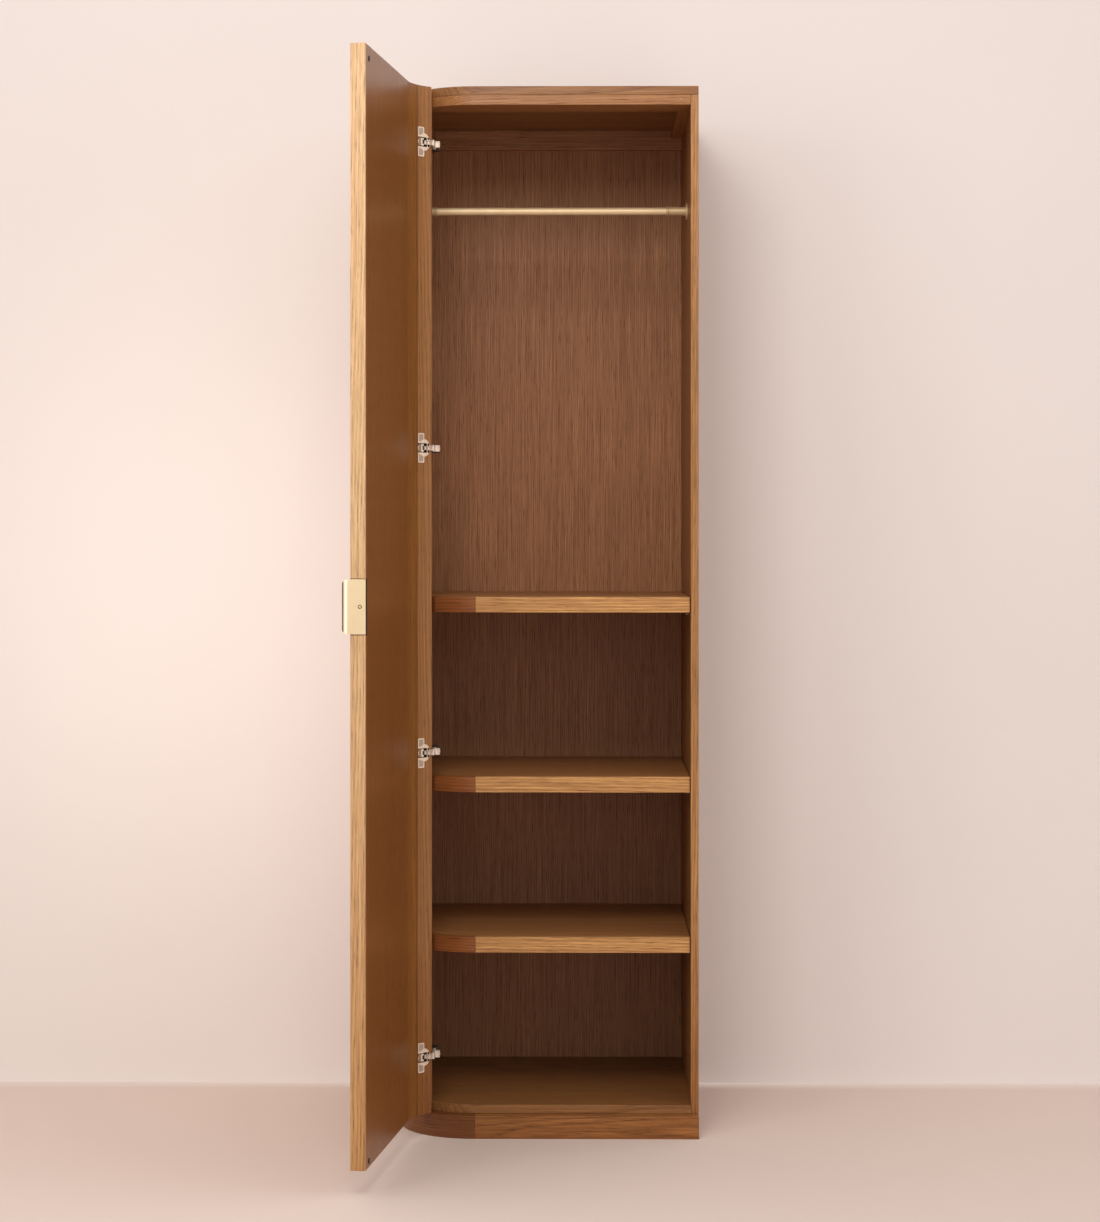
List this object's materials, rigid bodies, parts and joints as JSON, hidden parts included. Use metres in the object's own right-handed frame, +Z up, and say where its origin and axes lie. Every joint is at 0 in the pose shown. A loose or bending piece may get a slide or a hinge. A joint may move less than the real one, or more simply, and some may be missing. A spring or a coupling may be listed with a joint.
{
  "type": "pantry cabinet",
  "caption": "Tall oak storage cabinet with a rounded front corner, a full-height door that wraps the corner, adjustable shelves and a brass hanging rod.",
  "frame": {"origin": "on the floor, at the centre of the plinth footprint, on the underside of the plinth centre rail", "axes": "+Z up, +Y towards the wall behind the cabinet, +X to the right seen from the front; the rest pose has the door open"},
  "size_m": [0.6808, 1.1175, 2.134],
  "materials": {
    "oak": "stained oak veneer and solid oak, satin lacquer",
    "oak_edge": "solid oak lipping, satin lacquer",
    "oak_dark": "straight-grained veneer, satin lacquer",
    "brass": "satin brass",
    "nickel": "nickel-plated steel",
    "magnet": "black coated disc"
  },
  "bodies": {
    "cabinet": {"plinth_corner": "oak", "plinth_front": "oak", "plinth_left": "oak", "plinth_right": "oak", "bottom_panel": "oak", "top_panel": "oak", "side_panel_right": "oak", "side_panel_left": "oak", "corner_post": "oak", "top_front_rail": "oak", "top_side_strip_right": "oak", "top_side_strip_left": "oak", "shelf_1_board": "oak", "shelf_2_board": "oak", "shelf_3_board": "oak", "plinth_back": "oak_dark", "plinth_centre_rail": "oak_dark", "back_panel": "oak_dark", "top_back_cleat": "oak_dark", "shelf_1_front_lipping": "oak_edge", "shelf_1_corner_lipping": "oak_edge", "shelf_2_front_lipping": "oak_edge", "shelf_2_corner_lipping": "oak_edge", "shelf_3_front_lipping": "oak_edge", "shelf_3_corner_lipping": "oak_edge", "shelf_1_pin_front_right": "brass", "shelf_1_pin_back_right": "brass", "shelf_1_pin_front_left": "brass", "shelf_1_pin_back_left": "brass", "shelf_2_pin_front_right": "brass", "shelf_2_pin_back_right": "brass", "shelf_2_pin_front_left": "brass", "shelf_2_pin_back_left": "brass", "shelf_3_pin_front_right": "brass", "shelf_3_pin_back_right": "brass", "shelf_3_pin_front_left": "brass", "shelf_3_pin_back_left": "brass", "hanging_rod": "brass", "rod_socket_right": "brass", "rod_socket_left": "brass", "hinge_1_arm": "nickel", "hinge_2_arm": "nickel", "hinge_3_arm": "nickel", "hinge_4_arm": "nickel"},
    "door": {"door_panel": "oak", "door_curved_stave": "oak", "door_hinge_stave": "oak", "door_pull": "brass", "door_pull_screw": "brass", "door_magnet_top": "magnet", "door_magnet_bottom": "magnet", "hinge_1_cup": "nickel", "hinge_2_cup": "nickel", "hinge_3_cup": "nickel", "hinge_4_cup": "nickel"},
    "hinge_links": {"hinge_1_link": "nickel", "hinge_2_link": "nickel", "hinge_3_link": "nickel", "hinge_4_link": "nickel"}
  },
  "joints": [
    {"name": "door_hinge", "type": "hinge", "parent": "cabinet", "child": "door", "pos_m": [-0.25406, -0.2609, 0], "axis": [0, 0, 1], "range_deg": [0, 96.45]},
    {"name": "hinge_link_swing", "type": "hinge", "parent": "cabinet", "child": "hinge_links", "pos_m": [-0.23306, -0.2279, 0], "axis": [0, 0, 1], "range_deg": [0, 70.6]}
  ],
  "couplings": [
    {"joint": "hinge_link_swing", "follows": "door_hinge", "ratio": 0.732}
  ]
}
